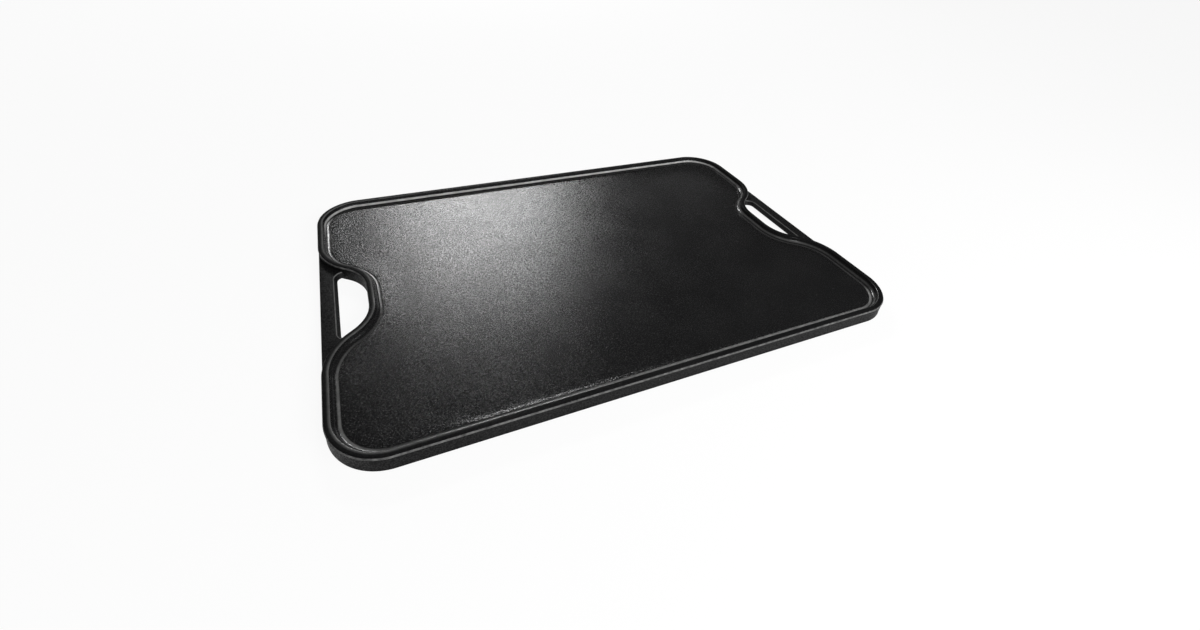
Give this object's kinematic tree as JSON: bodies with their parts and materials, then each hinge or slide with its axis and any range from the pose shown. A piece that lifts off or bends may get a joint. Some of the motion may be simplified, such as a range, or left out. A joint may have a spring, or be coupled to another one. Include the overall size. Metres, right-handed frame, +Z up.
{
  "type": "camp griddle plate",
  "caption": "Reversible cast-iron camp griddle plate: smooth cooking face with a raised rim, a hand hole and grip bar at each end, and grill ribs underneath.",
  "frame": {"origin": "centre of the base, level with what the plate rests on", "axes": "+X along the plate from the left hand hole to the right one, +Y from the front to the back, +Z up with the smooth face on top"},
  "size_m": [0.61, 0.406, 0.0165],
  "materials": {
    "seasoned_iron": "satin"
  },
  "bodies": {
    "root": {"cooking_plate": "seasoned_iron", "front_rim": "seasoned_iron", "back_rim": "seasoned_iron", "left_rim": "seasoned_iron", "right_rim": "seasoned_iron", "left_handle": "seasoned_iron", "right_handle": "seasoned_iron", "grill_ribs": "seasoned_iron"}
  },
  "joints": []
}
